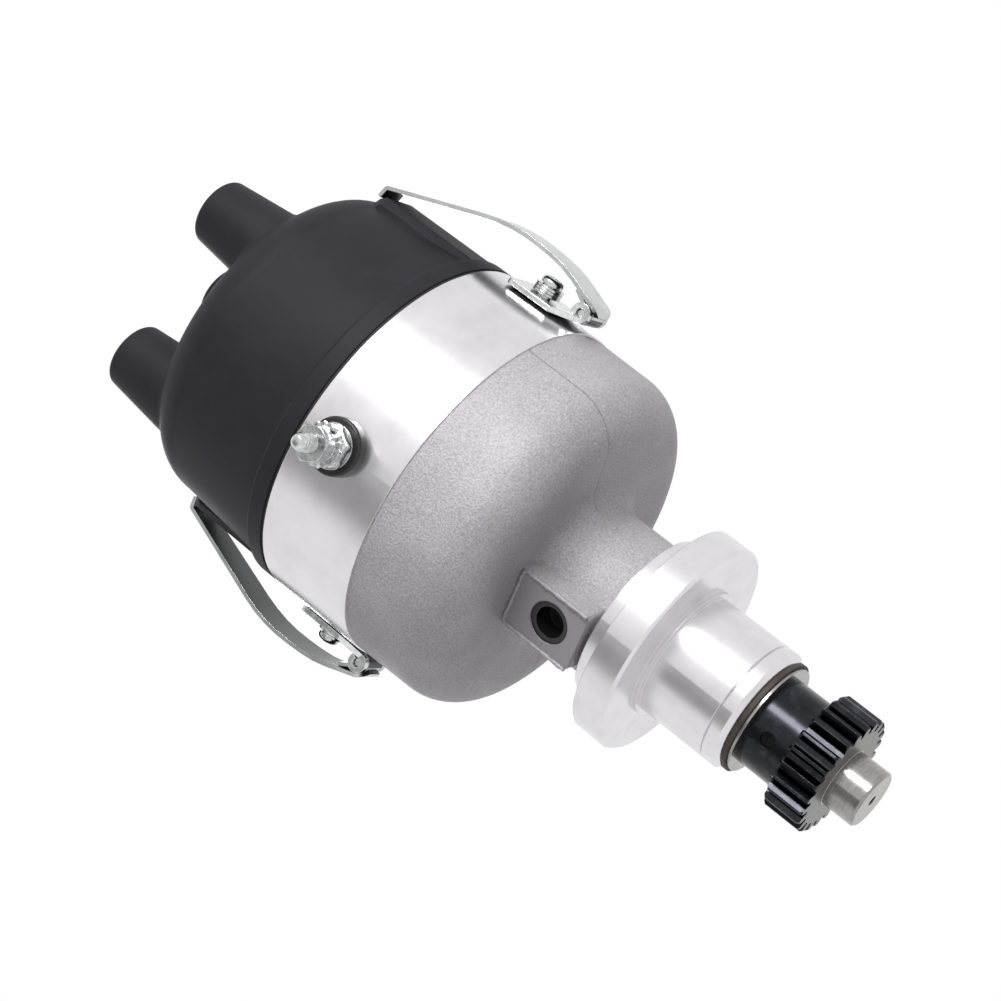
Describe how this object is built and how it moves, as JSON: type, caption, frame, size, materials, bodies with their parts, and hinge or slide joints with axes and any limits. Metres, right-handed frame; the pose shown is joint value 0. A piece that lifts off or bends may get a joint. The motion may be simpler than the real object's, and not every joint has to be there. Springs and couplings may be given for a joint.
{
  "type": "ignition distributor",
  "caption": "Ignition distributor with a cast housing, a shaft with a gear, centrifugal advance, breaker points, a rotor and a black cap held by spring clips.",
  "frame": {"origin": "centre of the pilot at the flange's seat face, on the shaft's axis", "axes": "+Z along the shaft towards the cap, +X out along the low-tension terminal, +Y through one of the two cap clips"},
  "size_m": [0.0984, 0.1018, 0.1824],
  "materials": {
    "cast_aluminium": "machined on the pilot, flange and ring, fine as-cast on the bowl and neck",
    "black_moulding": "moulded",
    "bronze": "sintered",
    "ground_steel": "ground",
    "black_steel": "black oxide, satin",
    "brown_fibre": "pressed fibre",
    "pressed_steel": "stamped and plated",
    "felt": "felt",
    "plated_screws": "zinc plated",
    "contact_metal": "flat ground",
    "spring_steel": "zinc plated, satin",
    "zinc_plate": "zinc plated, satin",
    "brass_strip": "rolled",
    "black_rubber": "moulded",
    "cap_moulding": "satin charcoal moulding",
    "carbon": "pressed carbon",
    "rotor_moulding": "moulded"
  },
  "bodies": {
    "base": {"housing": "cast_aluminium", "oiler_plug": "black_moulding", "lower_bushing": "bronze", "upper_bushing": "bronze", "breaker_plate": "pressed_steel", "breaker_plate_screws": "plated_screws", "fixed_contact_bracket": "pressed_steel", "fixed_contact": "contact_metal", "contact_lock_screw": "plated_screws", "arm_pivot_post": "ground_steel", "condenser": "pressed_steel", "condenser_clamp": "pressed_steel", "condenser_screw": "plated_screws", "terminal_stud": "plated_screws", "terminal_insulator_outer": "black_moulding", "terminal_insulator_inner": "black_moulding", "terminal_washers": "plated_screws", "terminal_nuts": "plated_screws", "primary_strip": "brass_strip", "cap_gasket": "black_rubber", "clip_bracket_left": "zinc_plate", "clip_bracket_right": "zinc_plate", "hinge_pin_left": "zinc_plate", "hinge_pin_right": "zinc_plate", "clip_screw_left": "plated_screws", "clip_screw_right": "plated_screws", "lock_washer_left": "plated_screws", "lock_washer_right": "plated_screws"},
    "shaft": {"drive_shaft": "ground_steel", "drive_gear": "black_steel", "gear_pin": "ground_steel", "fibre_thrust_washer": "brown_fibre", "steel_thrust_washer": "ground_steel", "upper_thrust_washer": "ground_steel", "weight_base_plate": "pressed_steel", "advance_spring_1": "ground_steel", "advance_spring_2": "ground_steel"},
    "weight_one": {"advance_weight_1": "pressed_steel"},
    "weight_two": {"advance_weight_2": "pressed_steel"},
    "cam": {"breaker_cam": "ground_steel", "felt_wick": "felt", "rotor": "rotor_moulding", "rotor_blade": "brass_strip", "rotor_spring": "brass_strip"},
    "points_arm": {"breaker_arm": "pressed_steel", "moving_contact": "contact_metal", "rubbing_block": "brown_fibre", "breaker_spring": "spring_steel"},
    "cap": {"distributor_cap": "cap_moulding", "cap_electrodes": "brass_strip", "centre_electrode": "brass_strip", "carbon_button": "carbon"},
    "clip_one": {"clip_left": "spring_steel"},
    "clip_two": {"clip_right": "spring_steel"}
  },
  "joints": [
    {"name": "shaft_spin", "type": "hinge", "parent": "base", "child": "shaft", "pos_m": [0, 0, 0], "axis": [0, 0, 1], "continuous": true},
    {"name": "cam_advance", "type": "hinge", "parent": "shaft", "child": "cam", "pos_m": [0, 0, 0.05], "axis": [0, 0, 1], "range_deg": [0, 8], "stiffness_Nm_per_rad": 0.05, "springref_deg": -1.15},
    {"name": "weight_swing_one", "type": "hinge", "parent": "shaft", "child": "weight_one", "pos_m": [0.019, 0, 0.045], "axis": [0, 0, 1], "range_deg": [0, 12.1]},
    {"name": "weight_swing_two", "type": "hinge", "parent": "shaft", "child": "weight_two", "pos_m": [-0.019, 0, 0.045], "axis": [0, 0, 1], "range_deg": [0, 12.1]},
    {"name": "points_open", "type": "hinge", "parent": "base", "child": "points_arm", "pos_m": [0.0155, -0.02, 0.067], "axis": [0, 0, -1], "range_deg": [0, 8], "stiffness_Nm_per_rad": 0.1, "springref_deg": -28.65},
    {"name": "cap_lift", "type": "slide", "parent": "base", "child": "cap", "axis": [0, 0, 1], "range_m": [0, 0.05]},
    {"name": "clip_swing_one", "type": "hinge", "parent": "base", "child": "clip_one", "pos_m": [0, 0.044, 0.0565], "axis": [-1, 0, 0], "range_deg": [0, 115.5]},
    {"name": "clip_swing_two", "type": "hinge", "parent": "base", "child": "clip_two", "pos_m": [0, -0.044, 0.0565], "axis": [1, 0, 0], "range_deg": [0, 115.5]}
  ],
  "couplings": [
    {"joint": "weight_swing_one", "follows": "cam_advance", "ratio": 1.5},
    {"joint": "weight_swing_two", "follows": "cam_advance", "ratio": 1.5},
    {"joint": "clip_swing_one", "follows": "cap_lift", "rad_per_m": 40.1},
    {"joint": "clip_swing_two", "follows": "cap_lift", "rad_per_m": 40.1}
  ]
}
